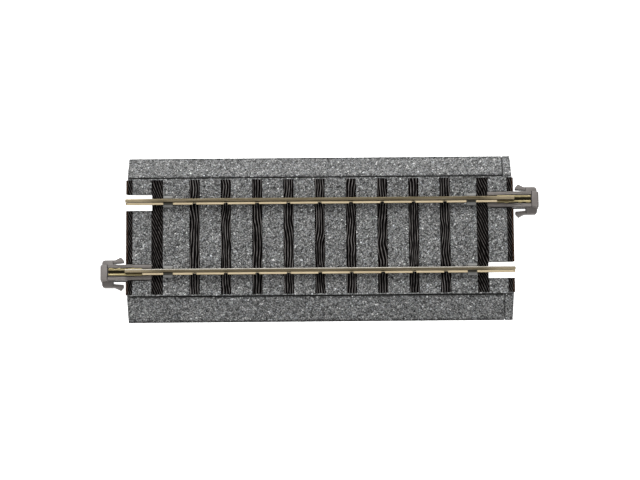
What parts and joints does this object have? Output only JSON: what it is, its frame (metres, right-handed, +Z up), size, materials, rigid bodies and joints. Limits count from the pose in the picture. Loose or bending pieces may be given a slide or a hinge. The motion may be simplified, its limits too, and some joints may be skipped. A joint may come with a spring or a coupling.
{
  "type": "model track section",
  "caption": "Straight section of model railway track: ballasted roadbed with clip-on shoulders, grained ties, metal rails and a latching rail joiner at each end.",
  "frame": {"origin": "middle of the footprint, on the surface that the section stands on", "axes": "+X along the track towards the end with the shoulder seams, +Y across the track to the far shoulder, +Z up"},
  "size_m": [0.1064, 0.0406, 0.0065],
  "materials": {
    "ballast": "moulded granular ballast, speckled grey",
    "tie": "satin black-brown with moulded wood grain",
    "clip": "smooth grey plastic",
    "joiner_plastic": "smooth brownish grey plastic",
    "rail": "drawn metal, slightly tarnished",
    "joiner_metal": "folded sheet metal"
  },
  "bodies": {
    "track": {"roadbed": "ballast", "tie_strip": "tie", "end_ties_left": "tie", "end_ties_right": "tie", "rail_far": "rail", "rail_near": "rail", "rail_clip_left_far": "clip", "rail_clip_left_near": "clip", "rail_clip_right_far": "clip", "rail_clip_right_near": "clip"},
    "far_shoulder": {"shoulder_far": "ballast"},
    "near_shoulder": {"shoulder_near": "ballast"},
    "left_joiner": {"joiner_housing_left": "joiner_plastic", "rail_joiner_left": "joiner_metal"},
    "right_joiner": {"joiner_housing_right": "joiner_plastic", "rail_joiner_right": "joiner_metal"},
    "left_far_arm": {"latch_arm_left_far": "joiner_plastic"},
    "left_near_arm": {"latch_arm_left_near": "joiner_plastic"},
    "right_far_arm": {"latch_arm_right_far": "joiner_plastic"},
    "right_near_arm": {"latch_arm_right_near": "joiner_plastic"}
  },
  "joints": [
    {"name": "far_shoulder_unclip", "type": "slide", "parent": "track", "child": "far_shoulder", "axis": [0, 1, 0], "range_m": [0, 0.005]},
    {"name": "near_shoulder_unclip", "type": "slide", "parent": "track", "child": "near_shoulder", "axis": [0, -1, 0], "range_m": [0, 0.005]},
    {"name": "left_joiner_pull", "type": "slide", "parent": "track", "child": "left_joiner", "axis": [-1, 0, 0], "range_m": [0, 0.0065]},
    {"name": "right_joiner_pull", "type": "slide", "parent": "track", "child": "right_joiner", "axis": [1, 0, 0], "range_m": [0, 0.0065]},
    {"name": "left_far_latch", "type": "hinge", "parent": "left_joiner", "child": "left_far_arm", "pos_m": [-0.04995, -0.00575, 0.00215], "axis": [0, 0, -1], "range_deg": [0, 10], "stiffness_Nm_per_rad": 0.03},
    {"name": "left_near_latch", "type": "hinge", "parent": "left_joiner", "child": "left_near_arm", "pos_m": [-0.04995, -0.01155, 0.00215], "axis": [0, 0, 1], "range_deg": [0, 10], "stiffness_Nm_per_rad": 0.03},
    {"name": "right_far_latch", "type": "hinge", "parent": "right_joiner", "child": "right_far_arm", "pos_m": [0.04995, 0.01155, 0.00215], "axis": [0, 0, 1], "range_deg": [0, 10], "stiffness_Nm_per_rad": 0.03},
    {"name": "right_near_latch", "type": "hinge", "parent": "right_joiner", "child": "right_near_arm", "pos_m": [0.04995, 0.00575, 0.00215], "axis": [0, 0, -1], "range_deg": [0, 10], "stiffness_Nm_per_rad": 0.03}
  ]
}
